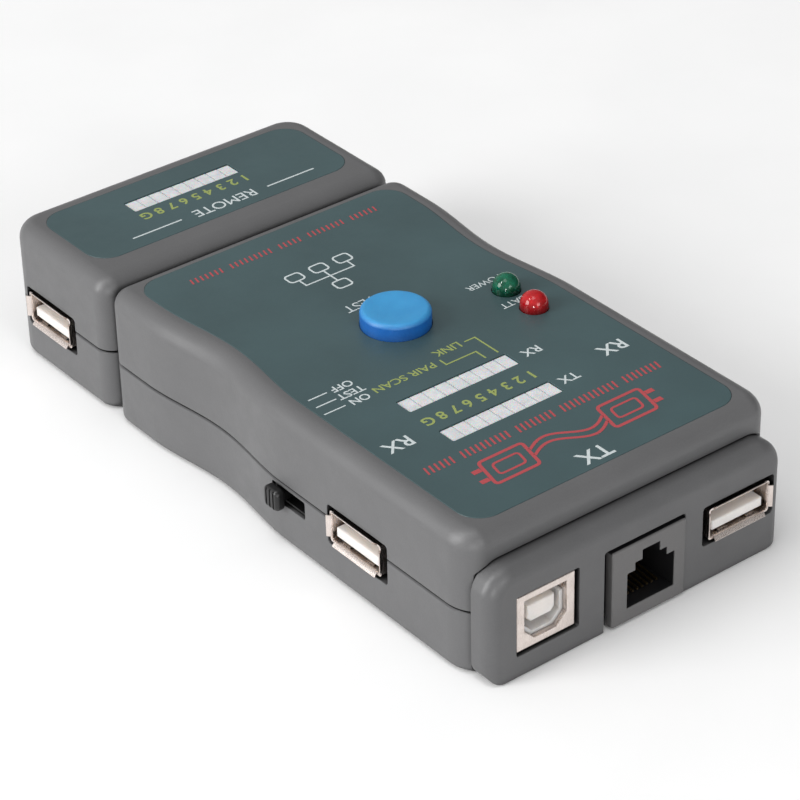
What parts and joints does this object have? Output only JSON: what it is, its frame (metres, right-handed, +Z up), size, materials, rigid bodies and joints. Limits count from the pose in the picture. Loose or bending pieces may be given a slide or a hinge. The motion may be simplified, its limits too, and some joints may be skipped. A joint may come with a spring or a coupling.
{
  "type": "network cable tester",
  "caption": "Handheld cable tester: waisted case with push button, mode switch, light bars, modular jacks and serial sockets, and a remote unit that slides off its end.",
  "frame": {"origin": "middle of the underside of the docked pair, on the plane it rests on", "axes": "+X towards the side with the mode switch, +Y along the tester towards the end with the transmit ports, +Z up out of the printed face"},
  "size_m": [0.0665, 0.1356, 0.0297],
  "materials": {
    "casing": "fine-grained mid grey moulding",
    "label": "satin dark grey-green printed film",
    "diffuser": "milky white translucent bar",
    "red_lens": "clear tinted red epoxy",
    "green_lens": "clear tinted green epoxy",
    "button": "satin blue moulding",
    "black_plastic": "black moulding",
    "nickel": "nickel-plated pressed steel",
    "white_plastic": "white insulator moulding",
    "jack_plastic": "grey moulding",
    "gold": "gold-plated contact wire",
    "board": "green solder-masked laminate",
    "steel": "zinc-plated screw",
    "battery_jacket": "dark printed metal jacket",
    "red_lead": "red insulation",
    "black_lead": "black insulation"
  },
  "bodies": {
    "main_unit": {"main_top_shell": "casing", "main_bottom_shell": "casing", "port_bezel": "casing", "face_label": "label", "tx_light_bar": "diffuser", "rx_light_bar": "diffuser", "low_battery_lamp": "red_lens", "power_lamp": "green_lens", "test_switch_body": "black_plastic", "controller_chip": "black_plastic", "mode_switch_body": "black_plastic", "battery_snap": "black_plastic", "usb_a_end_shell": "nickel", "usb_a_side_shell": "nickel", "usb_b_shell": "nickel", "usb_a_end_tongue": "white_plastic", "usb_a_side_tongue": "white_plastic", "usb_b_tongue": "white_plastic", "rj45_tx_jack": "jack_plastic", "rj45_rx_jack": "jack_plastic", "rj45_tx_contacts": "gold", "rj45_rx_contacts": "gold", "main_board": "board", "case_screw_1": "steel", "case_screw_2": "steel", "case_screw_3": "steel", "case_screw_4": "steel", "board_screw_1": "steel", "board_screw_2": "steel", "battery_9v": "battery_jacket", "battery_lead_red": "red_lead", "battery_lead_black": "black_lead"},
    "test_button": {"test_button_cap": "button", "test_button_plunger": "black_plastic"},
    "mode_knob": {"mode_switch_knob": "black_plastic"},
    "battery_cover": {"battery_door": "casing"},
    "remote_unit": {"remote_top_shell": "casing", "remote_bottom_shell": "casing", "remote_label": "label", "remote_light_bar": "diffuser", "remote_usb_a_shell": "nickel", "remote_usb_a_tongue": "white_plastic", "remote_rj45_jack": "jack_plastic", "remote_rj45_contacts": "gold", "remote_board": "board", "remote_screw_1": "steel", "remote_screw_2": "steel", "remote_board_screw": "steel"}
  },
  "joints": [
    {"name": "test_button_press", "type": "slide", "parent": "main_unit", "child": "test_button", "axis": [0, 0, -1], "range_m": [0, 0.0005], "stiffness_N_per_m": 2000, "springref_m": -0.0002},
    {"name": "mode_switch_slide", "type": "slide", "parent": "main_unit", "child": "mode_knob", "axis": [0, 1, 0], "range_m": [0, 0.004]},
    {"name": "battery_door_hinge", "type": "hinge", "parent": "main_unit", "child": "battery_cover", "pos_m": [0, -0.005, 0], "axis": [1, 0, 0], "range_deg": [0, 90]},
    {"name": "remote_dock_slide", "type": "slide", "parent": "main_unit", "child": "remote_unit", "axis": [0, 0, 1], "range_m": [0, 0.022]}
  ]
}
